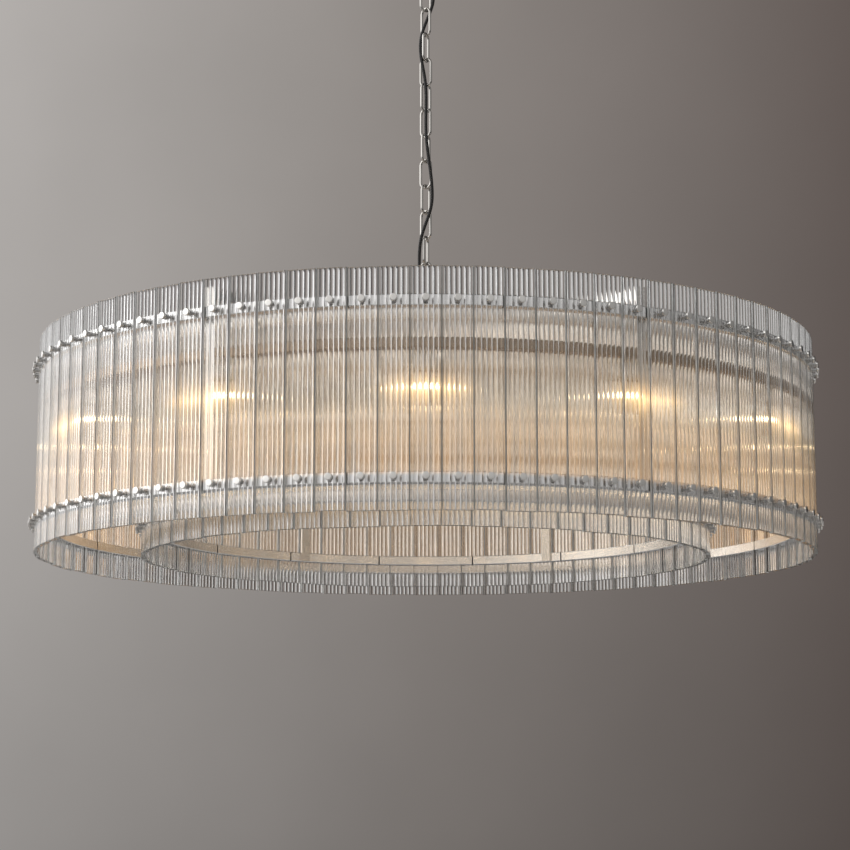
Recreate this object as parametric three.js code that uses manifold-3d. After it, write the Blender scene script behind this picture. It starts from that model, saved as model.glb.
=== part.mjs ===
// Two-tier glass plank chandelier. Millimetres, +Z up, origin on the ceiling at the middle of the strap.
import * as THREE from 'three';
import { mergeVertices } from 'three/addons/utils/BufferGeometryUtils.js';
import Module from 'manifold-3d';

// ---------------------------------------------------------------- driving dimensions
const DROP = 1262;              // ceiling plane above the lower edge of the outer planks

const PLANK_W = 52.2;           // plank width
const PLANK_T = 10;             // plank thickness
const SEAM_DEPTH = 7.5;         // depth of the groove between two planks

const OUT_N = 90;               // planks in the outer drum
const OUT_FACE = 761.5;         // outer face of the outer planks, from the axis
const OUT_Z = [0, 411.5];       // outer planks, bottom and top
const IN_N = 66;                // planks in the inner drum
const IN_FACE = 557;            // outer face of the inner planks, from the axis
const IN_Z = [-1, 411.5];       // inner planks, bottom and top

const KNOB = 13;                // knob head across
const KNOB_OUT = 12.5;          // knob head standing off the glass
const OUT_KNOB_Z = [56.5, 355];
const IN_KNOB_Z = [54.8, 375.5];

const HOOP_H = 19;              // hoop height
const OUT_HOOP = [728, 751.2];  // inner face, outer corner
const IN_HOOP = [526.5, 546.8];

const RIBS = [30, 90, 150, 210, 270, 330];
const ARM_T = 5;                // arm thickness
const ARM_Z = [385.5, 404];     // arm, bottom and top
const POST_W = 19;              // post width
const OUT_POST = [722.2, 727.2];
const IN_POST = [521, 526];
const TAB = [652, 666];         // lamp ring hanger, from the axis

const LAMP_R = 659;             // lamp circle radius
const LAMP_N = 12;
const LAMP_RING = [646, 672];
const LAMP_RING_Z = [290, 308];

const LINKS = 14;
const CONTACT0 = 437.2;         // where the lowest link hangs on the hub loop
const LINK_PITCH = 53.6;
const LINK_WIRE = 2.5;          // wire radius
const LINK_W = 23;              // centre line width of a link
const LINK_TURN = [-30, 60, -30, 69, -37, 47, -28, 50, -35, 40, -28, 64, -45, 30];
const LOOP_WIRE = 3;
const LOOP_R = 11;
const HUB_LOOP_TURN = 60;
const TOP_LOOP_TURN = -60;

const CORD_R = 3.25;
// centre line of the cord: x, y from the chain's axis and height above the outer planks' lower edge
const CORD = [
  [2.00, 15.80, 412.30],
  [1.82, 15.72, 422.37],
  [0.84, 15.15, 432.40],
  [-0.16, 14.54, 442.42],
  [-1.16, 13.84, 452.44],
  [-2.19, 13.02, 462.45],
  [-3.23, 12.05, 472.44],
  [-4.30, 10.89, 482.41],
  [-5.39, 9.52, 492.35],
  [-6.50, 7.90, 502.25],
  [-7.60, 6.12, 512.12],
  [-8.67, 4.23, 521.98],
  [-9.67, 2.31, 531.84],
  [-10.57, 0.44, 541.72],
  [-11.33, -1.32, 551.63],
  [-11.96, -2.93, 561.57],
  [-12.45, -4.40, 571.54],
  [-12.79, -5.73, 581.54],
  [-13.00, -6.94, 591.56],
  [-13.07, -8.04, 601.59],
  [-12.99, -9.04, 611.64],
  [-12.65, -9.96, 621.68],
  [-11.94, -10.82, 631.71],
  [-10.69, -11.58, 641.70],
  [-8.71, -12.18, 651.57],
  [-6.05, -12.59, 661.30],
  [-2.95, -12.81, 670.90],
  [0.38, -12.83, 680.43],
  [3.70, -12.66, 689.96],
  [6.79, -12.27, 699.56],
  [9.44, -11.66, 709.28],
  [11.39, -10.96, 719.16],
  [12.51, -10.37, 729.17],
  [12.87, -10.08, 739.25],
  [12.67, -10.19, 749.34],
  [12.12, -10.64, 759.40],
  [11.32, -11.26, 769.44],
  [10.30, -11.83, 779.47],
  [9.11, -12.35, 789.48],
  [7.81, -12.79, 799.48],
  [6.46, -13.17, 809.47],
  [5.12, -13.47, 819.47],
  [3.86, -13.70, 829.48],
  [2.71, -13.85, 839.51],
  [1.74, -13.92, 849.56],
  [0.98, -13.91, 859.62],
  [0.46, -13.81, 869.70],
  [0.16, -13.62, 879.79],
  [0.06, -13.35, 889.88],
  [0.12, -13.00, 899.96],
  [0.27, -12.58, 910.05],
  [0.46, -12.08, 920.13],
  [0.61, -11.52, 930.20],
  [0.65, -10.90, 940.28],
  [0.52, -10.24, 950.35],
  [0.16, -9.53, 960.41],
  [-0.48, -8.80, 970.46],
  [-1.48, -8.05, 980.47],
  [-2.83, -7.30, 990.45],
  [-4.46, -6.56, 1000.38],
  [-6.21, -5.83, 1010.29],
  [-7.92, -5.14, 1020.21],
  [-9.42, -4.49, 1030.17],
  [-10.53, -3.90, 1040.19],
  [-11.10, -3.36, 1050.25],
  [-10.99, -2.88, 1060.33],
  [-10.05, -2.47, 1070.36],
  [-8.22, -2.11, 1080.28],
  [-5.60, -1.82, 1090.02],
  [-2.39, -1.58, 1099.59],
  [1.16, -1.37, 1109.04],
  [4.79, -1.19, 1118.45],
  [8.28, -1.01, 1127.92],
  [11.39, -0.83, 1137.52],
  [13.75, -0.64, 1147.31],
  [14.95, -0.45, 1157.27],
  [15.35, -0.25, 1167.34],
  [15.35, -0.06, 1177.43],
  [15.15, 0.15, 1187.52],
  [14.85, 0.35, 1197.61],
  [14.60, 0.50, 1207.70],
];

// ---------------------------------------------------------------- helpers
const wasm = await Module();
wasm.setup();
const rad = (d) => d * Math.PI / 180;
const up = (z) => z - DROP;

function shell(pos, idx) {
  const g = new THREE.BufferGeometry();
  let v = 0;
  for (let i = 0; i < idx.length; i += 3) {
    const [a, b, c] = [idx[i] * 3, idx[i + 1] * 3, idx[i + 2] * 3];
    v += pos[a] * (pos[b + 1] * pos[c + 2] - pos[b + 2] * pos[c + 1])
       + pos[a + 1] * (pos[b + 2] * pos[c] - pos[b] * pos[c + 2])
       + pos[a + 2] * (pos[b] * pos[c + 1] - pos[b + 1] * pos[c]);
  }
  const out = [];
  for (let i = 0; i < idx.length; i += 3) {
    if (v >= 0) out.push(idx[i], idx[i + 1], idx[i + 2]);
    else out.push(idx[i], idx[i + 2], idx[i + 1]);
  }
  g.setAttribute('position', new THREE.Float32BufferAttribute(pos, 3));
  g.setIndex(out);
  g.computeVertexNormals();
  return g;
}

// profile turned about Z; points on the axis become single vertices
function turned(profile, seg, phase = 0, cx = 0, cy = 0) {
  const pos = [], idx = [], rows = [];
  const onAxis = profile[0][0] === 0;
  for (const [r, z] of profile) {
    if (r === 0) { rows.push([pos.length / 3]); pos.push(cx, cy, z); continue; }
    const row = [];
    for (let i = 0; i < seg; i++) {
      const t = phase + 2 * Math.PI * i / seg;
      row.push(pos.length / 3);
      pos.push(cx + r * Math.cos(t), cy + r * Math.sin(t), z);
    }
    rows.push(row);
  }
  const last = onAxis ? rows.length - 1 : rows.length;
  for (let k = 0; k < last; k++) {
    const A = rows[k], B = rows[(k + 1) % rows.length];
    for (let i = 0; i < seg; i++) {
      const j = (i + 1) % seg;
      if (A.length === 1) idx.push(A[0], B[j], B[i]);
      else if (B.length === 1) idx.push(A[i], A[j], B[0]);
      else idx.push(A[i], A[j], B[j], A[i], B[j], B[i]);
    }
  }
  return shell(pos, idx);
}

// round wire on a closed flat outline standing upright in the plane of direction "turn"
function wireLoop(points, wire, sides, turn, z0) {
  const pos = [], idx = [];
  const n = points.length, c = Math.cos(rad(turn)), s = Math.sin(rad(turn));
  for (let i = 0; i < n; i++) {
    const [px, pz, nx, nz] = points[i];
    for (let k = 0; k < sides; k++) {
      const t = 2 * Math.PI * k / sides;
      const u = px + wire * Math.cos(t) * nx, w = pz + wire * Math.cos(t) * nz, b = wire * Math.sin(t);
      pos.push(u * c - b * s, u * s + b * c, z0 + w);
    }
  }
  for (let i = 0; i < n; i++) {
    const j = (i + 1) % n;
    for (let k = 0; k < sides; k++) {
      const l = (k + 1) % sides;
      idx.push(i * sides + k, j * sides + k, j * sides + l, i * sides + k, j * sides + l, i * sides + l);
    }
  }
  return shell(pos, idx);
}

function stadium(width, length, arc) {
  const r = width / 2, h = length / 2 - r, pts = [];
  for (let i = 0; i <= arc; i++) {
    const t = Math.PI * i / arc;
    pts.push([r * Math.cos(t), h + r * Math.sin(t), Math.cos(t), Math.sin(t)]);
  }
  for (let i = 0; i <= arc; i++) {
    const t = Math.PI + Math.PI * i / arc;
    pts.push([r * Math.cos(t), -h + r * Math.sin(t), Math.cos(t), Math.sin(t)]);
  }
  return pts;
}

function ringPoints(r, n) {
  const pts = [];
  for (let i = 0; i < n; i++) {
    const t = 2 * Math.PI * i / n;
    pts.push([r * Math.cos(t), r * Math.sin(t), Math.cos(t), Math.sin(t)]);
  }
  return pts;
}

function tube(points, r, sides) {
  const P = points.map((p) => new THREE.Vector3(...p));
  const pos = [], idx = [];
  let n = new THREE.Vector3(1, 0, 0);
  for (let i = 0; i < P.length; i++) {
    const t = P[Math.min(i + 1, P.length - 1)].clone().sub(P[Math.max(i - 1, 0)]).normalize();
    if (i === 0 || i === P.length - 1) t.set(0, 0, 1);
    n = n.clone().sub(t.clone().multiplyScalar(n.dot(t))).normalize();
    const b = t.clone().cross(n);
    for (let k = 0; k < sides; k++) {
      const a = 2 * Math.PI * k / sides;
      pos.push(P[i].x + r * (Math.cos(a) * n.x + Math.sin(a) * b.x),
        P[i].y + r * (Math.cos(a) * n.y + Math.sin(a) * b.y),
        P[i].z + r * (Math.cos(a) * n.z + Math.sin(a) * b.z));
    }
  }
  for (let i = 0; i + 1 < P.length; i++) {
    for (let k = 0; k < sides; k++) {
      const l = (k + 1) % sides, A = i * sides, B = (i + 1) * sides;
      idx.push(A + k, A + l, B + l, A + k, B + l, B + k);
    }
  }
  const e = (P.length - 1) * sides;
  for (let k = 1; k + 1 < sides; k++) {
    idx.push(0, k + 1, k);
    idx.push(e, e + k, e + k + 1);
  }
  return shell(pos, idx);
}

function solid(g) {
  g.deleteAttribute('normal');
  g.deleteAttribute('uv');
  const m = mergeVertices(g, 1e-4);
  return new wasm.Manifold(new wasm.Mesh({
    numProp: 3,
    vertProperties: new Float32Array(m.attributes.position.array),
    triVerts: new Uint32Array(m.index.array),
  }));
}

function back(man) {
  const m = man.getMesh();
  const pos = [];
  for (let i = 0; i < m.numVert; i++) {
    pos.push(m.vertProperties[i * m.numProp], m.vertProperties[i * m.numProp + 1], m.vertProperties[i * m.numProp + 2]);
  }
  return shell(pos, Array.from(m.triVerts));
}

function sum(list) {
  let s = list[0];
  for (let i = 1; i < list.length; i++) s = s.add(list[i]);
  return s;
}

// box set out along the radius at azimuth az (0 faces -Y, growing towards +X)
function radialBox(r0, r1, w, z0, z1, az) {
  const g = new THREE.BoxGeometry(r1 - r0, w, z1 - z0);
  g.translate((r0 + r1) / 2, 0, (z0 + z1) / 2);
  g.rotateZ(rad(az - 90));
  return g;
}

// several boxes that do not touch, as one set
function boxSet(list) {
  const pos = [], idx = [];
  for (const g of list) {
    g.deleteAttribute('normal');
    g.deleteAttribute('uv');
    const m = mergeVertices(g, 1e-4), o = pos.length / 3;
    pos.push(...m.attributes.position.array);
    for (const i of m.index.array) idx.push(i + o);
  }
  return new wasm.Manifold(new wasm.Mesh({
    numProp: 3, vertProperties: new Float32Array(pos), triVerts: new Uint32Array(idx),
  }));
}

const group = new THREE.Group();
group.name = 'plank_chandelier';
function put(name, geometry, colour, roughness, metalness, more = {}) {
  const mat = new THREE.MeshStandardMaterial({ color: new THREE.Color().setRGB(...colour), roughness, metalness, ...more });
  const mesh = new THREE.Mesh(geometry, mat);
  mesh.name = name;
  group.add(mesh);
}
const NICKEL = [[0.74, 0.72, 0.69], 0.16, 1];
const two = (i) => String(i).padStart(2, '0');

// ---------------------------------------------------------------- ceiling end
{
  const g = new THREE.BoxGeometry(120, 30, 4);
  g.translate(0, 0, -2);
  put('ceiling_strap', g, [0.55, 0.54, 0.52], 0.4, 1);
}
put('canopy', turned([
  [75, -0.3], [75, -5], [71, -16], [60, -27], [42, -35.5], [24, -39.5], [20, -40],
  [20, -38], [24, -37.5], [41.2, -33.6], [58.6, -25.4], [69.2, -15], [73, -4.6], [73, -0.3],
], 32), ...NICKEL);
put('locking_collar', turned([
  [19.6, -40.4], [25.5, -40.4], [27, -42], [27, -50], [25.5, -51.6], [19.6, -51.6],
], 24), ...NICKEL);
const topLoopZ = CONTACT0 + LINKS * LINK_PITCH - LOOP_WIRE - 0.15 + LOOP_R;
{
  // drawn at the root of its thread
  const stem = solid(turned([[0, -4.3], [17.8, -4.3], [17.8, -54], [0, -54]], 24));
  const loop = solid(wireLoop(ringPoints(LOOP_R, 20), LOOP_WIRE, 8, TOP_LOOP_TURN, up(topLoopZ)));
  put('loop_stem', back(stem.add(loop)), ...NICKEL);
}

// ---------------------------------------------------------------- chain and cord
for (let j = 0; j < LINKS; j++) {
  const low = CONTACT0 + j * LINK_PITCH - LINK_WIRE - 0.15;
  const high = CONTACT0 + (j + 1) * LINK_PITCH + LINK_WIRE + 0.15;
  put(`chain_link_${two(j + 1)}`,
    wireLoop(stadium(LINK_W, high - low, 6), LINK_WIRE, 6, LINK_TURN[j], up((low + high) / 2)), ...NICKEL);
}
put('cord', tube(CORD.map(([x, y, z]) => [x, y, up(z)]), CORD_R, 8), [0.02, 0.018, 0.018], 0.75, 0);

// ---------------------------------------------------------------- hub
{
  const hubLoopZ = CONTACT0 + LOOP_WIRE + 0.15 - LOOP_R;
  const foot = solid(turned([[0, up(404.3)], [24, up(404.3)], [24, up(410.5)], [22, up(412)], [0, up(412)]], 20));
  const neck = solid(turned([[0, up(411)], [3, up(411)], [3, up(418)], [0, up(418)]], 8));
  const loop = solid(wireLoop(ringPoints(LOOP_R, 20), LOOP_WIRE, 8, HUB_LOOP_TURN, up(hubLoopZ)));
  put('hub_loop', back(sum([foot, neck, loop])), ...NICKEL);
}
put('hub_body', turned([[0, up(376)], [40.3, up(376)], [40.3, up(404)], [0, up(404)]], 24, rad(7.5)), ...NICKEL);
put('hub_cap', turned([
  [0, up(350)], [8, up(351)], [14, up(356)], [16, up(362)], [30, up(368)], [33, up(372)], [33, up(375.7)], [0, up(375.7)],
], 20), ...NICKEL);

// ---------------------------------------------------------------- frame
RIBS.forEach((az, i) => {
  const parts = [
    radialBox(40.8, OUT_POST[1], ARM_T, up(ARM_Z[0]), up(ARM_Z[1]), az),
    radialBox(OUT_POST[0], OUT_POST[1], POST_W, up(47), up(ARM_Z[1]), az),
    radialBox(IN_POST[0], IN_POST[1], POST_W, up(46), up(ARM_Z[1]), az),
    radialBox(TAB[0], TAB[1], ARM_T, up(LAMP_RING_Z[1] + 0.3), up(ARM_Z[0] + 1), az),
  ].map(solid);
  put(`frame_rib_${i + 1}`, back(sum(parts)), ...NICKEL);
});

function hoop(limits, planks, zMid) {
  const n = planks / (planks % 2 ? 1 : 2), half = Math.PI / n;
  const r0 = limits[0] / Math.cos(half), r1 = limits[1];
  const phase = rad(-90) + Math.PI / planks;
  return turned([[r0, up(zMid - HOOP_H / 2)], [r1, up(zMid - HOOP_H / 2)],
    [r1, up(zMid + HOOP_H / 2)], [r0, up(zMid + HOOP_H / 2)]], n, phase);
}
put('outer_hoop_lower', hoop(OUT_HOOP, OUT_N, OUT_KNOB_Z[0]), ...NICKEL);
put('outer_hoop_upper', hoop(OUT_HOOP, OUT_N, OUT_KNOB_Z[1]), ...NICKEL);
put('inner_hoop_lower', hoop(IN_HOOP, IN_N, IN_KNOB_Z[0]), ...NICKEL);
put('inner_hoop_upper', hoop(IN_HOOP, IN_N, IN_KNOB_Z[1]), ...NICKEL);
put('lamp_ring', turned([[LAMP_RING[0], up(LAMP_RING_Z[0])], [LAMP_RING[1], up(LAMP_RING_Z[0])],
  [LAMP_RING[1], up(LAMP_RING_Z[1])], [LAMP_RING[0], up(LAMP_RING_Z[1])]], 48), [0.66, 0.62, 0.57], 0.3, 1);

// ---------------------------------------------------------------- lamps
for (let i = 0; i < LAMP_N; i++) {
  const t = rad(-90 + 30 * i), x = LAMP_R * Math.cos(t), y = LAMP_R * Math.sin(t);
  put(`lamp_socket_${two(i + 1)}`, turned([
    [0, up(271)], [7.2, up(271)], [7.2, up(250)], [13, up(250)], [15, up(255)], [15, up(289.7)], [0, up(289.7)],
  ], 10, t, x, y), [0.62, 0.58, 0.52], 0.3, 1);
  put(`bulb_${two(i + 1)}`, turned([
    [0, up(270.4)], [6.8, up(270.4)], [6.8, up(249.3)], [12, up(246)], [19, up(238)], [22.5, up(226)],
    [21.5, up(211)], [14, up(196)], [0, up(190)],
  ], 10, t, x, y), [1, 0.93, 0.8], 0.3, 0, { emissive: new THREE.Color(1, 0.85, 0.6), emissiveIntensity: 0.6 });
}

// ---------------------------------------------------------------- glass drums
function drum(planks, face, zs, knobZs, slots) {
  const pitch = 2 * Math.PI / planks, seamIn = (face - PLANK_T) / Math.cos(pitch / 2);
  const corner = Math.atan(PLANK_W / 2 / face), rCorner = face / Math.cos(corner);
  const seamOut = face - SEAM_DEPTH;
  const ring = [];
  for (let i = 0; i < planks; i++) {
    const a = -Math.PI / 2 + i * pitch;
    ring.push([rCorner, a - corner], [rCorner, a + corner], [seamOut, a + pitch / 2]);
  }
  const inner = [];
  for (let i = 0; i < planks; i++) inner.push([seamIn, -Math.PI / 2 + (i + 0.5) * pitch]);
  const pos = [], idx = [], nO = ring.length, nI = inner.length;
  const at = (list, z) => { for (const [r, t] of list) pos.push(r * Math.cos(t), r * Math.sin(t), up(z)); };
  at(ring, zs[0]); at(inner, zs[0]); at(ring, zs[1]); at(inner, zs[1]);
  const O0 = 0, I0 = nO, O1 = nO + nI, I1 = 2 * nO + nI;
  for (let i = 0; i < nO; i++) {
    const j = (i + 1) % nO;
    idx.push(O0 + i, O0 + j, O1 + j, O0 + i, O1 + j, O1 + i);
  }
  for (let i = 0; i < nI; i++) {
    const j = (i + 1) % nI;
    idx.push(I0 + i, I1 + j, I0 + j, I0 + i, I1 + i, I1 + j);
  }
  // end faces: per plank, inner seam to inner seam across the two corners
  for (let i = 0; i < planks; i++) {
    const p = (i + planks - 1) % planks;
    const a = 3 * i, b = 3 * i + 1, g0 = 3 * p + 2, g1 = 3 * i + 2;
    for (const [O, I, flip] of [[O0, I0, true], [O1, I1, false]]) {
      const t = [[I + p, O + g0, O + a], [I + p, O + a, O + b], [I + p, O + b, I + i], [I + i, O + b, O + g1]];
      for (const [u, v, w] of t) { if (flip) idx.push(u, w, v); else idx.push(u, v, w); }
    }
  }
  let body = solid(shell(pos, idx));
  if (slots) {
    body = body.subtract(boxSet(RIBS.map((az) => radialBox(face - 20, face + 20, ARM_T + 1.5, up(ARM_Z[0] - 1.5), up(zs[1] + 5), az))));
  }
  const heads = [];
  for (let i = 0; i < planks; i++) {
    for (const z of knobZs) {
      heads.push(radialBox(face - 1, face + KNOB_OUT, KNOB, up(z - KNOB / 2), up(z + KNOB / 2), 360 * i / planks));
    }
  }
  return back(body.add(boxSet(heads)));
}
const GLASS = [[0.80, 0.79, 0.77], 0.08, 0, { transparent: true, opacity: 0.55 }];
put('glass_outer', drum(OUT_N, OUT_FACE, OUT_Z, OUT_KNOB_Z, false), ...GLASS);
put('glass_inner', drum(IN_N, IN_FACE, IN_Z, IN_KNOB_Z, true), ...GLASS);

export default group;
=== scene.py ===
import math
import random

import bpy
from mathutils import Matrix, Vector


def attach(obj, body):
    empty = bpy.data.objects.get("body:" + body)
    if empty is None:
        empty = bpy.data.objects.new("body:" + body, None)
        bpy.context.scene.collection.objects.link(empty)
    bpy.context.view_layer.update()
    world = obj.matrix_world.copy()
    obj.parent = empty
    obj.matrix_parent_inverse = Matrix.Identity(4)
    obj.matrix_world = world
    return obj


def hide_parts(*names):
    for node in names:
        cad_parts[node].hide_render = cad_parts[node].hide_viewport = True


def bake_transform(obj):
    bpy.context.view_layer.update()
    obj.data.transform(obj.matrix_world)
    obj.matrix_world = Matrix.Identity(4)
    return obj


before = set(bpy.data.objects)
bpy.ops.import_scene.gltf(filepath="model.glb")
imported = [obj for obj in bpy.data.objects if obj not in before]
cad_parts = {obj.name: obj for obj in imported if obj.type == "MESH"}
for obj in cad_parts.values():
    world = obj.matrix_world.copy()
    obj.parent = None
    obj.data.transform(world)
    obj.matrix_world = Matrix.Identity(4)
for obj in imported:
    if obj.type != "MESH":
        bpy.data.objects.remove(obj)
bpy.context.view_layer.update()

DROP = 1.262                     # ceiling above the lower edge of the outer planks
R = math.radians


def up(z_mm):
    """height above the outer planks' lower edge, in mm, to the frame's z in metres"""
    return z_mm / 1000 - DROP


# ------------------------------------------------------------------ camera
cam_data = bpy.data.cameras.new("camera")
cam_data.sensor_width = 36
cam_data.lens = 94.75
cam_data.shift_x = -0.00094
cam_data.clip_end = 200
cam = bpy.data.objects.new("camera", cam_data)
cam.location = (0, -4.390, -1.7325)
cam.rotation_euler = (math.pi / 2 + 0.167, 0, 0)
bpy.context.scene.collection.objects.link(cam)
bpy.context.scene.camera = cam


# ------------------------------------------------------------------ material helpers
class Mat:
    def __init__(self, name):
        self.m = bpy.data.materials.new(name)
        self.m.use_nodes = True
        self.t = self.m.node_tree
        self.p = self.t.nodes["Principled BSDF"]
        self.out = self.t.nodes["Material Output"]

    def node(self, kind, **values):
        n = self.t.nodes.new(kind)
        for k, v in values.items():
            if hasattr(n, k):
                setattr(n, k, v)
            else:
                n.inputs[k.replace("_", " ")].default_value = v
        return n

    def link(self, a, b):
        self.t.links.new(a, b)

    def coords(self, scale=(1, 1, 1)):
        c = self.t.nodes.new("ShaderNodeTexCoord")
        m = self.t.nodes.new("ShaderNodeMapping")
        m.inputs["Scale"].default_value = scale
        self.link(c.outputs["Object"], m.inputs["Vector"])
        return m.outputs["Vector"]

    def noise(self, scale, detail=3.0, stretch=(1, 1, 1), rough=0.5):
        n = self.t.nodes.new("ShaderNodeTexNoise")
        n.inputs["Scale"].default_value = scale
        n.inputs["Detail"].default_value = detail
        n.inputs["Roughness"].default_value = rough
        self.link(self.coords(stretch), n.inputs["Vector"])
        return n.outputs["Fac"]

    def ramp(self, fac, stops, blend="LINEAR"):
        n = self.t.nodes.new("ShaderNodeValToRGB")
        n.color_ramp.interpolation = blend
        e = n.color_ramp.elements
        while len(e) < len(stops):
            e.new(0.5)
        for k, (pos, col) in enumerate(stops):
            e[k].position = pos
            e[k].color = (*col, 1) if len(col) == 3 else col
        self.link(fac, n.inputs["Fac"])
        return n.outputs["Color"]

    def value(self, fac, lo, hi, a=0.3, b=0.7):
        n = self.t.nodes.new("ShaderNodeMapRange")
        n.inputs["From Min"].default_value = a
        n.inputs["From Max"].default_value = b
        n.inputs["To Min"].default_value = lo
        n.inputs["To Max"].default_value = hi
        self.link(fac, n.inputs["Value"])
        return n.outputs["Result"]

    def math(self, op, a, b=None):
        n = self.t.nodes.new("ShaderNodeMath")
        n.operation = op
        for k, v in enumerate((a, b)):
            if v is None:
                continue
            if isinstance(v, (int, float)):
                n.inputs[k].default_value = v
            else:
                self.link(v, n.inputs[k])
        return n.outputs[0]

    def bump(self, height, strength=0.2, distance=0.0005):
        n = self.t.nodes.new("ShaderNodeBump")
        n.inputs["Strength"].default_value = strength
        n.inputs["Distance"].default_value = distance
        self.link(height, n.inputs["Height"])
        self.link(n.outputs["Normal"], self.p.inputs["Normal"])


def nickel(name, tint=(0.80, 0.78, 0.745), rough=(0.05, 0.14), brushed=0.0, dark=0.9):
    m = Mat(name)
    a = m.noise(9, 4)
    m.link(m.ramp(a, [(0.3, tuple(c * dark for c in tint)), (0.7, tint)]), m.p.inputs["Base Color"])
    m.p.inputs["Metallic"].default_value = 1
    b = m.noise(60, 3)
    m.link(m.value(b, *rough), m.p.inputs["Roughness"])
    if brushed:
        c = m.noise(240, 2, (0.06, 0.06, 6.0))
        m.bump(c, brushed, 0.00012)
    else:
        m.bump(m.noise(120, 2), 0.05, 0.0002)
    return m.m


def glass(name, tint, lit, wave, glow, heights, belt, warm):
    """clear glass, with a painted warm tint and a painted glow where the lamps light it"""
    m = Mat(name)
    m.p.inputs["Transmission Weight"].default_value = 1
    m.p.inputs["IOR"].default_value = 1.47
    m.p.inputs["Roughness"].default_value = 0.0
    c = m.t.nodes.new("ShaderNodeTexCoord")
    x = m.t.nodes.new("ShaderNodeSeparateXYZ")
    m.link(c.outputs["Object"], x.inputs["Vector"])
    h = m.value(x.outputs["Z"], 0, 1, up(-10), up(440))
    rise = m.ramp(h, [((z + 10) / 450, (v,) * 3) for z, v in heights])
    # painted warm light: the base colour turns towards the lit colour over the heights the lamps light
    painted_lamp_warmth = m.ramp(h, [((z + 10) / 450, (v,) * 3) for z, v in warm])
    a = m.noise(14, 3, (1, 1, 0.25))
    base = m.ramp(a, [(0.3, tuple(k * 0.985 for k in tint)), (0.7, tint)])
    mix = m.t.nodes.new("ShaderNodeMix")
    mix.data_type = "RGBA"
    m.link(painted_lamp_warmth, mix.inputs["Factor"])
    m.link(base, mix.inputs["A"])
    mix.inputs["B"].default_value = (*lit, 1)
    m.link(mix.outputs["Result"], m.p.inputs["Base Color"])
    b = m.noise(38, 2, (1, 1, 0.16))
    m.bump(b, wave, 0.0006)
    # fine upright lines left by drawing the glass
    fine = m.t.nodes.new("ShaderNodeBump")
    fine.inputs["Strength"].default_value = 1
    fine.inputs["Distance"].default_value = 0.00006
    m.link(m.noise(1, 2, (1400, 1400, 6)), fine.inputs["Height"])
    m.link(m.p.inputs["Normal"].links[0].from_socket, fine.inputs["Normal"])
    m.link(fine.outputs["Normal"], m.p.inputs["Normal"])
    # painted glow for the lamp light caught in the flutes: streaks along the plank, and a belt level with each
    # lamp
    streak = m.value(m.noise(240, 2, (1, 1, 0.02)), -0.1, 2.1)
    body = m.math("MULTIPLY", m.math("MULTIPLY", rise, streak), glow)
    turn = m.math("ARCTAN2", x.outputs["Y"], x.outputs["X"])
    near = m.math("MAXIMUM", m.math("COSINE", m.math("MULTIPLY", turn, 12)), 0)
    near = m.math("POWER", near, 1.6)
    row = m.ramp(h, [((z + 10) / 450, (v,) * 3) for z, v in ((140, 0), (175, 0.12), (191, 0.45), (203, 1), (215, 0.45), (232, 0.10), (255, 0))])
    spot = m.math("MULTIPLY", m.math("MULTIPLY", near, row), m.math("MULTIPLY", streak, belt))
    m.link(m.ramp(h, [(80 / 450, (1.0, 0.50, 0.14)), (160 / 450, (1.0, 0.52, 0.16)), (205 / 450, (1.0, 0.64, 0.26)), (280 / 450, (1.0, 0.56, 0.22)),
                      (1.0, (1.0, 0.60, 0.28))]), m.p.inputs["Emission Color"])
    m.link(m.math("ADD", body, spot), m.p.inputs["Emission Strength"])
    return m.m


NICKEL = nickel("polished_nickel")
HOOP = nickel("hoop_nickel", (0.93, 0.92, 0.91), (0.14, 0.24), brushed=0.10, dark=0.94)
# the lamp ring is darker and browner than the hoops: painted shade and painted warm lamp light for its place
# between the drums
RING = nickel("lamp_ring_shaded_brown", (0.40, 0.31, 0.23), (0.20, 0.32), brushed=0.2, dark=0.8)
RIB = nickel("rib_nickel", (0.78, 0.75, 0.71), (0.12, 0.24), brushed=0.2, dark=0.86)
LINK = nickel("link_nickel", (0.66, 0.635, 0.60), (0.05, 0.12), dark=0.72)
KNOB = nickel("knob_nickel", (0.86, 0.84, 0.81), (0.10, 0.18))
STRAP = nickel("strap_steel", (0.55, 0.54, 0.52), (0.30, 0.5), brushed=0.3)
SOCKET = nickel("socket_nickel", (0.70, 0.66, 0.60), (0.15, 0.3))
# the lit colour, glow, heights, belt and warm arguments set the glass's painted warm tint and painted glow
GLASS_OUT = glass("plank_glass_outer", (0.985, 0.985, 0.985), (0.985, 0.955, 0.90), 0.10, 0.060,
                  [(60, 0), (66, 1), (120, 1), (160, 0.85), (200, 0.5), (250, 0.25), (300, 0.1), (345, 0)], 0.40,
                  [(60, 0), (68, 0.9), (150, 1), (230, 0.6), (300, 0.15), (345, 0)])
GLASS_IN = glass("plank_glass_inner", (0.985, 0.985, 0.985), (0.975, 0.90, 0.80), 0.10, 0.020,
                 [(150, 0), (200, 0.15), (250, 0.3), (270, 1), (340, 1), (385, 0.4), (411, 0)], 0.06,
                 [(110, 0), (150, 0.5), (200, 0.8), (260, 1), (340, 1), (411, 0.3)])


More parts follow.
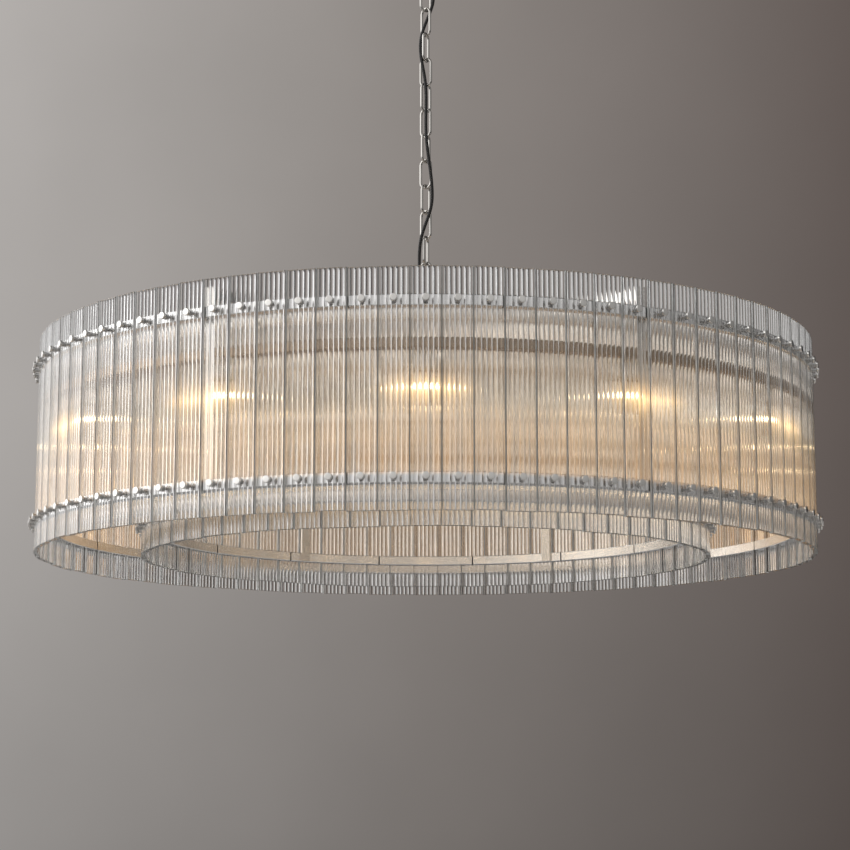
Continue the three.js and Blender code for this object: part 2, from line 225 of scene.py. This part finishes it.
def cord_material():
    m = Mat("braided_cord")
    c = m.t.nodes.new("ShaderNodeTexCoord")
    mp = m.t.nodes.new("ShaderNodeMapping")
    mp.inputs["Rotation"].default_value = (0.0, R(45), R(30))
    mp.inputs["Scale"].default_value = (900, 900, 900)
    m.link(c.outputs["Object"], mp.inputs["Vector"])
    w = m.t.nodes.new("ShaderNodeTexWave")
    w.inputs["Scale"].default_value = 1.0
    w.inputs["Distortion"].default_value = 0.6
    m.link(mp.outputs["Vector"], w.inputs["Vector"])
    m.link(m.ramp(w.outputs["Fac"], [(0.2, (0.006, 0.0055, 0.0055)), (0.8, (0.030, 0.027, 0.026))]), m.p.inputs["Base Color"])
    m.link(m.value(m.noise(300), 0.45, 0.65), m.p.inputs["Roughness"])
    m.bump(w.outputs["Fac"], 0.35, 0.0003)
    return m.m


def bulb_material():
    m = Mat("lit_bulb")
    a = m.noise(30, 2)
    m.link(m.ramp(a, [(0.3, (1.0, 0.90, 0.74)), (0.7, (1.0, 0.93, 0.80))]), m.p.inputs["Base Color"])
    m.p.inputs["Roughness"].default_value = 0.35
    # height up the bulb, then a bright belt at its widest
    c = m.t.nodes.new("ShaderNodeTexCoord")
    x = m.t.nodes.new("ShaderNodeSeparateXYZ")
    m.link(c.outputs["Object"], x.inputs["Vector"])
    h = m.value(x.outputs["Z"], 0, 1, up(190), up(250))
    m.link(m.ramp(h, [(0.0, (1.0, 0.50, 0.20)), (0.35, (1.0, 0.62, 0.30)), (0.53, (1.0, 0.82, 0.54)), (0.72, (1.0, 0.62, 0.30)),
                      (1.0, (1.0, 0.50, 0.20))]), m.p.inputs["Emission Color"])
    g = m.ramp(h, [(0.0, (0.004,) * 3), (0.30, (0.008,) * 3), (0.42, (0.03,) * 3), (0.475, (0.35,) * 3), (0.53, (1.0,) * 3), (0.585, (0.35,) * 3),
                   (0.64, (0.03,) * 3), (0.8, (0.008,) * 3), (1.0, (0.004,) * 3)], "LINEAR")
    k = m.t.nodes.new("ShaderNodeMath")
    k.operation = "MULTIPLY"
    k.inputs[1].default_value = 9.0
    m.link(g, k.inputs[0])
    m.link(k.outputs[0], m.p.inputs["Emission Strength"])
    return m.m


def ground_edge(name, dark, pale, glow):
    m = Mat(name)
    a = m.noise(160, 3)
    m.link(m.ramp(a, [(0.3, dark), (0.7, pale)]), m.p.inputs["Base Color"])
    m.link(m.value(a, 0.45, 0.6), m.p.inputs["Roughness"])
    # painted glow: a faint pale emission, standing in for light caught at the plank seams
    if glow:
        m.p.inputs["Emission Color"].default_value = (1.0, 0.99, 0.95, 1)
        m.link(m.value(a, glow * 0.8, glow), m.p.inputs["Emission Strength"])
    return m.m


def dark_steel():
    m = Mat("knob_shank")
    a = m.noise(90, 3)
    m.link(m.ramp(a, [(0.3, (0.50, 0.49, 0.48)), (0.7, (0.64, 0.63, 0.62))]), m.p.inputs["Base Color"])
    m.p.inputs["Metallic"].default_value = 0.9
    m.link(m.value(a, 0.35, 0.5), m.p.inputs["Roughness"])
    return m.m


# the sawn plank sides are pale and carry a painted glow
EDGE = ground_edge("sawn_glass_side_painted_glow", (0.62, 0.63, 0.62), (0.86, 0.87, 0.86), 0.07)
ARRIS = ground_edge("fine_glass_arris", (0.13, 0.127, 0.12), (0.20, 0.195, 0.19), 0)
GROUND = ground_edge("ground_glass_arris", (0.030, 0.025, 0.020), (0.050, 0.043, 0.036), 0)
SHANK = dark_steel()
CORD_MAT = cord_material()
BULB_MAT = bulb_material()


def brass_material():
    m = Mat("bulb_cap_brass")
    a = m.noise(80, 3)
    m.link(m.ramp(a, [(0.3, (0.60, 0.48, 0.28)), (0.7, (0.72, 0.58, 0.36))]), m.p.inputs["Base Color"])
    m.p.inputs["Metallic"].default_value = 1
    m.link(m.value(a, 0.2, 0.35), m.p.inputs["Roughness"])
    return m.m


BRASS = brass_material()


# ------------------------------------------------------------------ mesh helpers
class Build:
    def __init__(self):
        self.v, self.f, self.mi = [], [], []

    def add(self, verts, faces, mi=0):
        o = len(self.v)
        self.v += [tuple(p) for p in verts]
        self.f += [tuple(i + o for i in q) for q in faces]
        self.mi += list(mi) if isinstance(mi, (list, tuple)) else [mi] * len(faces)

    def obj(self, name, mats, angle=35, body=None, nodes=()):
        me = bpy.data.meshes.new(name)
        me.from_pydata(self.v, [], self.f)
        for m in (mats if isinstance(mats, (list, tuple)) else [mats]):
            me.materials.append(m)
        for p, k in zip(me.polygons, self.mi):
            p.material_index = k
        me.update()
        me.shade_smooth()
        me.set_sharp_from_angle(angle=R(angle))
        o = bpy.data.objects.new(name, me)
        bpy.context.scene.collection.objects.link(o)
        if body:
            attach(o, body)
        if nodes:
            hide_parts(*nodes)
        return o


def turned(profile, seg, closed=False, place=None):
    """profile of (r, z) turned about z; place maps a point to its place"""
    place = place or (lambda p: p)
    v, f, rows = [], [], []
    for r, z in profile:
        if r == 0:
            rows.append([len(v)])
            v.append(place((0, 0, z)))
        else:
            rows.append(list(range(len(v), len(v) + seg)))
            for i in range(seg):
                t = 2 * math.pi * i / seg
                v.append(place((r * math.cos(t), r * math.sin(t), z)))
    n = len(rows)
    for k in range(n if closed else n - 1):
        a, b = rows[k], rows[(k + 1) % n]
        for i in range(seg):
            j = (i + 1) % seg
            if len(a) == 1:
                f.append((a[0], b[j], b[i]))
            elif len(b) == 1:
                f.append((a[i], a[j], b[0]))
            else:
                f.append((a[i], a[j], b[j], b[i]))
    return v, f


def oriented(v, f):
    vol = 0.0
    for q in f:
        a = Vector(v[q[0]])
        for k in range(1, len(q) - 1):
            vol += a.dot(Vector(v[q[k]]).cross(Vector(v[q[k + 1]])))
    return f if vol > 0 else [tuple(reversed(q)) for q in f]


def rounded(points, radius, steps=3):
    """open profile with its inner corners rounded"""
    out = [points[0]]
    for a, b, c in zip(points, points[1:], points[2:]):
        va, vc = (a[0] - b[0], a[1] - b[1]), (c[0] - b[0], c[1] - b[1])
        la, lc = math.hypot(*va), math.hypot(*vc)
        d = min(radius, la * 0.45, lc * 0.45)
        p, q = (b[0] + va[0] / la * d, b[1] + va[1] / la * d), (b[0] + vc[0] / lc * d, b[1] + vc[1] / lc * d)
        for s in range(steps + 1):
            t = s / steps
            out.append(((1 - t) ** 2 * p[0] + 2 * t * (1 - t) * b[0] + t * t * q[0],
                        (1 - t) ** 2 * p[1] + 2 * t * (1 - t) * b[1] + t * t * q[1]))
    out.append(points[-1])
    return out


def lathe(name, profile, seg, mat, body, nodes=(), at=(0, 0), closed=False, angle=35, radius=0):
    if radius:
        profile = rounded(profile, radius)
    v, f = turned([(r / 1000, z) for r, z in profile], seg, closed)
    f = oriented(v, f)
    b = Build()
    b.add([(x + at[0], y + at[1], z) for x, y, z in v], f)
    return b.obj(name, mat, angle, body, nodes)


def wire(points, radius, sides, turn, z0, extra=None):
    v, f = [], []
    n, c, s = len(points), math.cos(R(turn)), math.sin(R(turn))
    for i, (px, pz, nx, nz) in enumerate(points):
        w = radius * (extra(i) if extra else 1)
        for k in range(sides):
            t = 2 * math.pi * k / sides
            u, h, b = px + w * math.cos(t) * nx, pz + w * math.cos(t) * nz, w * math.sin(t)
            v.append((u * c - b * s, u * s + b * c, z0 + h))
    for i in range(n):
        j = (i + 1) % n
        for k in range(sides):
            l = (k + 1) % sides
            f.append((i * sides + k, j * sides + k, j * sides + l, i * sides + l))
    return v, oriented(v, f)


# ------------------------------------------------------------------ cord
CORD = [
    (2.00, 15.80, 412.30), (0.84, 15.15, 432.40), (-1.16, 13.84, 452.44), (-3.23, 12.05, 472.44),
    (-5.39, 9.52, 492.35), (-7.60, 6.12, 512.12), (-9.67, 2.31, 531.84), (-11.33, -1.32, 551.63),
    (-12.45, -4.40, 571.54), (-13.00, -6.94, 591.56), (-12.99, -9.04, 611.64), (-11.94, -10.82, 631.71),
    (-8.71, -12.18, 651.57), (-2.95, -12.81, 670.90), (3.70, -12.66, 689.96), (9.44, -11.66, 709.28),
    (12.51, -10.37, 729.17), (12.67, -10.19, 749.34), (11.32, -11.26, 769.44), (9.11, -12.35, 789.48),
    (6.46, -13.17, 809.47), (3.86, -13.70, 829.48), (1.74, -13.92, 849.56), (0.46, -13.81, 869.70),
    (0.06, -13.35, 889.88), (0.27, -12.58, 910.05), (0.61, -11.52, 930.20), (0.52, -10.24, 950.35),
    (-0.48, -8.80, 970.46), (-2.83, -7.30, 990.45), (-6.21, -5.83, 1010.29), (-9.42, -4.49, 1030.17),
    (-11.10, -3.36, 1050.25), (-10.05, -2.47, 1070.36), (-5.60, -1.82, 1090.02), (1.16, -1.37, 1109.04),
    (8.28, -1.01, 1127.92), (14.10, -0.64, 1147.31), (15.75, -0.25, 1167.34), (15.55, 0.15, 1187.52),
    (14.60, 0.50, 1207.70),
]


def smooth_path(points, steps):
    """Catmull-Rom through the points"""
    p, out = [Vector(q) for q in points], []
    for i in range(len(p) - 1):
        a, b, c, d = p[max(i - 1, 0)], p[i], p[i + 1], p[min(i + 2, len(p) - 1)]
        for k in range(steps):
            t = k / steps
            out.append(0.5 * (2 * b + (c - a) * t + (2 * a - 5 * b + 4 * c - d) * t * t + (3 * b - a - 3 * c + d) * t ** 3))
    return out + [p[-1]]


route = smooth_path([(x / 1000, y / 1000, up(z)) for x, y, z in CORD], 8)
v, f, side = [], [], Vector((1, 0, 0))
for i, p in enumerate(route):
    run = (route[min(i + 1, len(route) - 1)] - route[max(i - 1, 0)]).normalized()
    side = (side - run * side.dot(run)).normalized()
    across = run.cross(side)
    for k in range(14):
        t = 2 * math.pi * k / 14
        v.append(tuple(p + 0.00325 * (math.cos(t) * side + math.sin(t) * across)))
for i in range(len(route) - 1):
    for k in range(14):
        l = (k + 1) % 14
        f.append((i * 14 + k, i * 14 + l, (i + 1) * 14 + l, (i + 1) * 14 + k))
f.append(tuple(reversed(range(14))))
f.append(tuple(range(len(v) - 14, len(v))))
b = Build()
b.add(v, oriented(v, f))
cord = b.obj("power_cord", CORD_MAT, 50, None, ["cord"])
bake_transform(cord)
tuple(route[-1])
[tuple(p) for p in reversed(route)]


# ------------------------------------------------------------------ ceiling end
lathe("canopy_dish", [(75, -0.0003), (75, -0.004), (73.6, -0.010), (70.6, -0.0165), (66, -0.0225), (59.5, -0.0275), (51, -0.032),
                      (42, -0.0352), (32, -0.0378), (24, -0.0394), (20, -0.0399),
                      (20, -0.0381), (24, -0.0375), (41.2, -0.0336), (58.6, -0.0254), (69.2, -0.015), (73, -0.0046), (73, -0.0003)],
      128, NICKEL, "canopy", ["canopy"], closed=True, angle=50)
v, f = [], []
prof = [(19.4, -0.0404), (24.6, -0.0404), (25.8, -0.0410), (26.6, -0.0422), (26.8, -0.0440), (26.8, -0.0480), (26.6, -0.0498),
        (25.8, -0.0510), (24.6, -0.0516), (19.4, -0.0516)]
seg = 144
for i in range(seg):
    t = 2 * math.pi * i / seg
    for k, (r, z) in enumerate(prof):
        rr = r - (0.35 if (3 <= k <= 6 and i % 2) else 0)
        v.append((rr / 1000 * math.cos(t), rr / 1000 * math.sin(t), z))
m = len(prof)
for i in range(seg):
    j = (i + 1) % seg
    for k in range(m):
        l = (k + 1) % m
        f.append((i * m + k, j * m + k, j * m + l, i * m + l))
b = Build()
b.add(v, oriented(v, f))
b.obj("knurled_collar", NICKEL, 30, "collar", ["locking_collar"])

TOP_LOOP = 437.2 + 14 * 53.6 - 3.15 + 11
b = Build()
stem_profile = [(0, -0.0043), (18.2, -0.0043)]
z = -0.0050
while z > -0.0515:
    stem_profile += [(18.9, z), (18.3, z - 0.0007)]
    z -= 0.0014
stem_profile += [(18.2, -0.0523), (17.6, -0.0530), (0, -0.0530)]
v, f = turned([(r / 1000, zz) for r, zz in stem_profile], 72)
b.add(v, oriented(v, f))


def ring_points(r, n):
    return [(r * math.cos(2 * math.pi * i / n) / 1000, r * math.sin(2 * math.pi * i / n) / 1000,
             math.cos(2 * math.pi * i / n), math.sin(2 * math.pi * i / n)) for i in range(n)]


v, f = wire(ring_points(11, 56), 0.003, 20, -60, up(TOP_LOOP))
b.add(v, f)
b.obj("stem_and_loop", NICKEL, 40, "ceiling_mount", ["loop_stem"])

# ------------------------------------------------------------------ chain
TURN = [-30, 60, -30, 69, -37, 47, -28, 50, -35, 40, -28, 64, -45, 30]


def stadium(width, length, arc, straight):
    r, h, pts = width / 2, length / 2 - width / 2, []
    for i in range(arc + 1):
        t = math.pi * i / arc
        pts.append((r * math.cos(t), h + r * math.sin(t), math.cos(t), math.sin(t)))
    for i in range(1, straight):
        pts.append((-r, h - 2 * h * i / straight, -1, 0))
    for i in range(arc + 1):
        t = math.pi + math.pi * i / arc
        pts.append((r * math.cos(t), -h + r * math.sin(t), math.cos(t), math.sin(t)))
    for i in range(1, straight):
        pts.append((r, -h + 2 * h * i / straight, 1, 0))
    return [(x / 1000, z / 1000, nx, nz) for x, z, nx, nz in pts]


for j in range(14):
    low = 437.2 + j * 53.6 - 2.65
    high = 437.2 + (j + 1) * 53.6 + 2.65
    pts = stadium(23, high - low, 18, 12)
    weld = 18 + 6 if j % 2 else 18 + 12 + 18 + 6

    def swell(i, weld=weld):
        return 1 + 0.02 * math.exp(-((i - weld) / 0.8) ** 2) - 0.03 * math.exp(-((i - weld) / 0.35) ** 2)
    b = Build()
    v, f = wire(pts, 0.00248, 18, TURN[j], up((low + high) / 2), swell)
    b.add(v, f)
    body = "bottom_link" if j == 0 else "top_link" if j == 13 else "chain"
    b.obj("chain_wire_%02d" % (j + 1), LINK, 40, body, ["chain_link_%02d" % (j + 1)])

# ------------------------------------------------------------------ hub
b = Build()
v, f = turned([(r / 1000, up(z)) for r, z in rounded([(0, 404.3), (24, 404.3), (24, 409.5), (21, 412), (0, 412)], 1.0)], 96)
b.add(v, oriented(v, f))
v, f = turned([(r / 1000, up(z)) for r, z in [(0, 411), (4.5, 411.5), (3.2, 413.0), (3, 418), (0, 418)]], 24)
b.add(v, oriented(v, f))
v, f = wire(ring_points(11, 56), 0.003, 20, 60, up(437.2 + 3.15 - 11))
b.add(v, f)
b.obj("hub_eye", NICKEL, 40, "drum", ["hub_loop"])
lathe(
    "hub_block", [(0, up(376)), (38.6, up(376)), (39.6, up(376.4)), (40, up(377.4)), (40, up(388)), (39.2, up(389)), (39.2, up(391)),
                  (40, up(392)), (40, up(402.6)), (39.6, up(403.6)), (38.6, up(404)), (0, up(404))],
    128, NICKEL, "drum", ["hub_body"])
lathe("hub_finial", [(0, up(350)), (5, up(350.4)), (9.5, up(352)), (13, up(355)), (15, up(359)), (15.6, up(362)), (18, up(365)),
                     (26, up(366.8)), (31, up(369.2)), (32.6, up(371.6)), (33, up(373)), (33, up(375)), (32.4, up(375.7)), (0, up(375.7))],
      96, NICKEL, "drum", ["hub_cap"], angle=45)


# ------------------------------------------------------------------ hoops
def hoop(name, node, r0, r1, z0, z1, joints, mat):
    bev = 1.2
    prof = [(r0, z0 + bev), (r0 + bev, z0), (r1 - bev, z0), (r1, z0 + bev), (r1, z1 - bev), (r1 - bev, z1), (r0 + bev, z1), (r0, z1 - bev)]
    rm, zm = (r0 + r1) / 2, (z0 + z1) / 2
    angles = []
    if joints:
        step = 360 / joints
        for k in range(joints):
            a = -90 + step / 2 + k * step
            d1, d2 = math.degrees(1.0 / rm), math.degrees(1.5 / rm)
            angles += [(a - d2, 0), (a - d1, 1), (a + d1, 1), (a + d2, 0)]
            n = 10
            for i in range(1, n):
                angles.append((a + d2 + (step - 2 * d2) * i / n, 0))
    else:
        angles = [(360 * i / 180, 0) for i in range(180)]
    v, f, m = [], [], len(prof)
    for a, dent in angles:
        for r, z in prof:
            if dent:
                r, z = rm + (r - rm) * 0.90, zm + (z - zm) * 0.86
            v.append((r / 1000 * math.cos(R(a)), r / 1000 * math.sin(R(a)), up(z)))
    n, mi = len(angles), []
    for i in range(n):
        j = (i + 1) % n
        for k in range(m):
            l = (k + 1) % m
            f.append((i * m + k, j * m + k, j * m + l, i * m + l))
            mi.append(1 if angles[i][1] or angles[j][1] else 0)
    b = Build()
    b.add(v, oriented(v, f), mi)
    return b.obj(name, [mat, GROUND], 40, "drum", [node])


hoop("band_outer_lower", "outer_hoop_lower", 728, 751, 47, 66, 18, HOOP)
hoop("band_outer_upper", "outer_hoop_upper", 728, 751, 345.5, 364.5, 18, HOOP)
hoop("band_inner_lower", "inner_hoop_lower", 526.5, 546.4, 45.3, 64.3, 16, HOOP)
hoop("band_inner_upper", "inner_hoop_upper", 526.5, 546.4, 366, 385, 16, HOOP)
hoop("lamp_band", "lamp_ring", 646, 672, 290, 308, 0, RING)

# the ribs keep their solids, with their edges broken
for i in range(6):
    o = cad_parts["frame_rib_%d" % (i + 1)]
    o.data.materials.clear()
    o.data.materials.append(RIB)
    bev = o.modifiers.new("edges", "BEVEL")
    bev.width = 0.0007
    bev.segments = 2
    bev.limit_method = "ANGLE"
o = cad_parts["ceiling_strap"]
o.data.materials.clear()
o.data.materials.append(STRAP)
bev = o.modifiers.new("edges", "BEVEL")
bev.width = 0.0008
bev.segments = 3

# ------------------------------------------------------------------ lamps
for i in range(12):
    t = R(-90 + 30 * i)
    at = (0.659 * math.cos(t), 0.659 * math.sin(t))
    body = "bulb_%02d" % (i + 1)
    lathe("lamp_cup_%02d" % (i + 1),
          [(0, up(271)), (7.2, up(271)), (7.2, up(252)), (7.8, up(250.3)), (9, up(250)), (12, up(250)), (13.4, up(250.8)), (14.2, up(252.6)),
           (14.2, up(256)), (15, up(257)), (15, up(262)), (14.4, up(263)), (14.4, up(284)), (15, up(285)), (15, up(289.2)), (14.4, up(289.7)), (0, up(289.7))],
          48, SOCKET, "drum", ["lamp_socket_%02d" % (i + 1)], at)
    b = Build()
    cap = [(0, up(270.4)), (3, up(270.4)), (5.6, up(269.2))]
    z = 268.6
    while z > 250.5:
        cap += [(6.7, up(z)), (6.1, up(z - 1.2))]
        z -= 2.4
    cap += [(6.7, up(249.8)), (6.7, up(249.3))]
    v, f = turned([(r / 1000, zz) for r, zz in cap] + [(0, up(249.3))], 32)
    b.add([(x + at[0], y + at[1], zz) for x, y, zz in v], oriented(v, f), 1)
    prof = [(0, 249.35), (7.0, 249.3), (8.4, 248.4), (10.5, 246.6), (13.2, 244), (15.8, 241), (18.4, 237), (20.6, 232.6), (22, 228),
            (22.45, 223), (22.3, 218), (21.4, 212.6), (19.8, 207.4), (17.4, 202.4), (14.2, 198), (10.2, 194.2), (5.4, 191.4), (0, 190.4)]
    v, f = turned([(r / 1000, up(zz)) for r, zz in prof], 40)
    b.add([(x + at[0], y + at[1], zz) for x, y, zz in v], oriented(v, f), 0)
    b.obj("glow_bulb_%02d" % (i + 1), [BULB_MAT, BRASS], 50, body, ["bulb_%02d" % (i + 1)])


# ------------------------------------------------------------------ glass planks
def plank_outline(width, ribs=5, pitch=8.7, rise=2.4, margin=0.9, thick=10.0, arc=8):
    half = width / 2
    first = -pitch * ribs / 2
    rad = (pitch * pitch / 4 + rise * rise) / (2 * rise)
    a0 = math.asin(pitch / 2 / rad)
    pts = [(-half, -margin - 1.0), (-half + 0.3, -margin - 0.3), (-half + 0.7, -margin), (first - 0.05, -margin)]
    for k in range(ribs):
        c = first + pitch * (k + 0.5)
        for s in range(arc + 1):
            if s == 0 and k > 0:
                continue
            a = -a0 + 2 * a0 * s / arc
            pts.append((c + rad * math.sin(a), -rise + rad * (math.cos(a) - math.cos(a0))))
    pts += [(-first + 0.05, -margin), (half - 0.7, -margin), (half - 0.3, -margin - 0.3), (half, -margin - 1.0)]
    pts += [(half, -thick + 1.0), (half - 0.3, -thick + 0.3), (half - 0.7, -thick), (-half + 0.7, -thick), (-half + 0.3, -thick + 0.3), (-half, -thick + 1.0)]
    return pts


FLUTES_IN = True


def planks(prefix, count, face, z0, z1, width, sectors, mat, node, seed):
    rnd = random.Random(seed)
    outline = plank_outline(width)
    n = len(outline)
    per = count // sectors
    for s in range(sectors):
        b = Build()
        for q in range(per):
            idx = s * per + q
            # sectors run from seam to seam, starting at azimuth -30 degrees from the front
            az = -90 - 30 + (idx + 0.5) * 360 / count
            dz, dz1 = rnd.uniform(-0.9, 0.9), rnd.uniform(-0.6, 0.6)
            yaw, push = R(rnd.uniform(-0.25, 0.25)), rnd.uniform(-0.15, 0.1)
            ca, sa = math.cos(R(az)), math.sin(R(az))
            bottom, top = z0 + dz, z1 + dz1
            v, f, mi = [], [], []
            flip = FLUTES_IN
            for zz, k in ((bottom, 0.95), (bottom + 0.2, 0.985), (bottom + 0.6, 1.0), (bottom + 1.2, 1.0),
                          (top - 1.2, 1.0), (top - 0.6, 1.0), (top - 0.2, 0.985), (top, 0.95)):
                for u, w in outline:
                    if flip:
                        w = -10 - w
                    if k != 1:
                        ku = 1 - (1 - k) * 10 / width
                        u, w = u * ku, -5 + (w + 5) * k
                    w += push
                    uu, ww = u * math.cos(yaw) - (w + 5) * math.sin(yaw), (w + 5) * math.cos(yaw) + u * math.sin(yaw) - 5
                    r = face + ww
                    v.append(((r * ca - uu * sa) / 1000, (r * sa + uu * ca) / 1000, up(zz)))
            for row in range(7):
                for i in range(n):
                    j = (i + 1) % n
                    f.append((row * n + i, row * n + j, (row + 1) * n + j, (row + 1) * n + i))
                    ends = (abs(outline[i][0]), abs(outline[j][0]))
                    side = min(ends) == width / 2
                    corner = min(ends) >= width / 2 - 0.71 and abs(outline[i][0] - outline[j][0]) < 2
                    arris = corner and (outline[i][1] < -8 or min(ends) > width / 2 - 0.5)
                    mi.append(1 if side else 3 if row in (0, 6) else 2 if arris else 0)
            f.append(tuple(reversed(range(n))))
            f.append(tuple(range(7 * n, 8 * n)))
            b.add(v, oriented(v, f), mi + [0, 0])
        b.obj("%s_%d" % (prefix, s + 1), [mat, EDGE, ARRIS, GROUND], 28, "drum", [node])


planks("outer_planks", 90, 761.5, 0.9, 410.8, 52.2, 6, GLASS_OUT, "glass_outer", 11)
planks("inner_planks", 66, 557, -0.1, 410.4, 51.8, 6, GLASS_IN, "glass_inner", 23)


# ------------------------------------------------------------------ knobs
def knobs(name, count, face, z_mid, reach, node, seed):
    rnd = random.Random(seed)
    prof = [(0, 12.5), (5.2, 12.5), (5.6, 12.47), (6.0, 12.25), (6.2, 11.9), (6.3, 11.4), (6.3, 8.6), (6.1, 8.2), (4.3, 7.2), (4.3, 1.9),
            (5.2, 1.6), (6.1, 1.5), (6.3, 1.2), (6.3, 0.5), (6.1, 0.3), (2.6, 0.25), (2.6, -reach), (0, -reach)]
    b = Build()
    for i in range(count):
        az = R(-90 + 360 * i / count)
        ca, sa = math.cos(az), math.sin(az)
        dz, ds = rnd.uniform(-0.3, 0.3), rnd.uniform(-0.4, 0)

        def place(p):
            x, y, z = p
            r = face + (z + ds if z > 0 else z)
            return ((r * ca - x * sa) / 1000, (r * sa + x * ca) / 1000, up(z_mid + dz + y))
        v, f = turned(prof, 24, place=place)
        b.add(v, oriented(v, f), [1 if k // 24 >= 6 else 0 for k in range(len(f))])
    return b.obj(name, [KNOB, SHANK], 30, "drum", [node])


knobs("knobs_outer_lower", 90, 761.5, 56.5, 10.3, "glass_outer", 5)
knobs("knobs_outer_upper", 90, 761.5, 355, 10.3, "glass_outer", 6)
knobs("knobs_inner_lower", 66, 557, 54.8, 10.3, "glass_inner", 7)
knobs("knobs_inner_upper", 66, 557, 375.5, 10.3, "glass_inner", 8)


# ------------------------------------------------------------------ surroundings
def floor_material():
    m = Mat("pale_floor")
    a = m.noise(0.8, 4)
    m.link(m.ramp(a, [(0.3, (0.58, 0.565, 0.55)), (0.7, (0.64, 0.625, 0.61))]), m.p.inputs["Base Color"])
    m.p.inputs["Roughness"].default_value = 0.9
    return m.m


b = Build()
b.add([(-6, -6, -2.75), (6, -6, -2.75), (6, 6, -2.75), (-6, 6, -2.75)], [(0, 1, 2, 3)])
floor = b.obj("floor", floor_material())

scene = bpy.context.scene
world = bpy.data.worlds.new("studio")
scene.world = world
world.use_nodes = True
wt = world.node_tree
bg = wt.nodes["Background"]
tc = wt.nodes.new("ShaderNodeTexCoord")
sep = wt.nodes.new("ShaderNodeSeparateXYZ")
wt.links.new(tc.outputs["Generated"], sep.inputs["Vector"])


def wmath(op, a, b=None, clamp=False):
    n = wt.nodes.new("ShaderNodeMath")
    n.operation = op
    n.use_clamp = clamp
    for k, s in enumerate((a, b)):
        if s is None:
            continue
        if isinstance(s, (int, float)):
            n.inputs[k].default_value = s
        else:
            wt.links.new(s, n.inputs[k])
    return n.outputs[0]


def wramp(fac, stops):
    n = wt.nodes.new("ShaderNodeValToRGB")
    n.color_ramp.interpolation = "LINEAR"
    e = n.color_ramp.elements
    while len(e) < len(stops):
        e.new(0.5)
    for k, (pos, col) in enumerate(stops):
        e[k].position = pos
        e[k].color = (*col, 1)
    wt.links.new(fac, n.inputs["Fac"])
    return n.outputs["Color"]


# azimuth from straight ahead, positive to the right, over the full turn
az = wmath("ARCTAN2", sep.outputs["X"], sep.outputs["Y"])
az01 = wmath("ADD", wmath("DIVIDE", az, 2 * math.pi), 0.5)


def A(deg):
    return deg / 360 + 0.5


AZ = [
    (A(-180), (0.60, 0.595, 0.59)), (A(-150), (0.84, 0.83, 0.825)), (A(-110), (1.75, 1.74, 1.73)), (A(-84), (2.25, 2.24, 2.23)),
    (A(-60), (2.25, 2.24, 2.23)), (A(-48), (1.55, 1.54, 1.53)), (A(-28), (1.10, 1.09, 1.08)), (A(-20), (0.58, 0.57, 0.56)),
    (A(-12.6), (0.46, 0.437, 0.42)),
    (A(0), (0.262, 0.238, 0.222)), (A(12.6), (0.106, 0.084, 0.076)), (A(17), (0.055, 0.050, 0.048)),
    (A(23.5), (0.030, 0.029, 0.029)), (A(46), (0.030, 0.030, 0.031)),
    (A(58), (0.14, 0.138, 0.136)), (A(90), (0.25, 0.245, 0.24)),
    (A(130), (0.36, 0.355, 0.35)), (A(155), (0.52, 0.515, 0.51)), (A(180), (0.60, 0.595, 0.59)),
]
azc = wramp(az01, AZ)
# height above the horizon
el = wmath("ARCSINE", sep.outputs["Z"])
el01 = wmath("ADD", wmath("DIVIDE", el, math.pi), 0.5)


def E(deg):
    return deg / 180 + 0.5


elc = wramp(el01, [(0, (0.25,) * 3), (E(-30), (0.30,) * 3), (E(-15), (0.16,) * 3), (E(-7), (0.20,) * 3), (E(-1.2), (0.68,) * 3), (E(9.6), (0.93,) * 3), (E(20.4), (1.02,) * 3),
                   (E(45), (1.0,) * 3), (E(62), (0.35,) * 3), (E(72), (0.08,) * 3), (1, (0.06,) * 3)])
mix = wt.nodes.new("ShaderNodeMix")
mix.data_type = "RGBA"
mix.blend_type = "MULTIPLY"
mix.inputs["Factor"].default_value = 1
wt.links.new(azc, mix.inputs["A"])
wt.links.new(elc, mix.inputs["B"])
no = wt.nodes.new("ShaderNodeTexNoise")
no.inputs["Scale"].default_value = 9
no.inputs["Detail"].default_value = 5
wt.links.new(tc.outputs["Generated"], no.inputs["Vector"])
nr = wt.nodes.new("ShaderNodeMapRange")
nr.inputs["From Min"].default_value = 0.3
nr.inputs["From Max"].default_value = 0.7
nr.inputs["To Min"].default_value = 0.96
nr.inputs["To Max"].default_value = 1.04
wt.links.new(no.outputs["Fac"], nr.inputs["Value"])
wt.links.new(mix.outputs["Result"], bg.inputs["Color"])
wt.links.new(nr.outputs["Result"], bg.inputs["Strength"])

scene.view_settings.view_transform = "Standard"
scene.cycles.max_bounces = 28
scene.cycles.transmission_bounces = 28
scene.cycles.glossy_bounces = 12
scene.cycles.diffuse_bounces = 2
scene.cycles.transparent_max_bounces = 8
scene.cycles.sample_clamp_indirect = 24
scene.cycles.blur_glossy = 0.3
scene.cycles.caustics_reflective = True
scene.cycles.caustics_refractive = True
scene.cycles.use_denoising = True
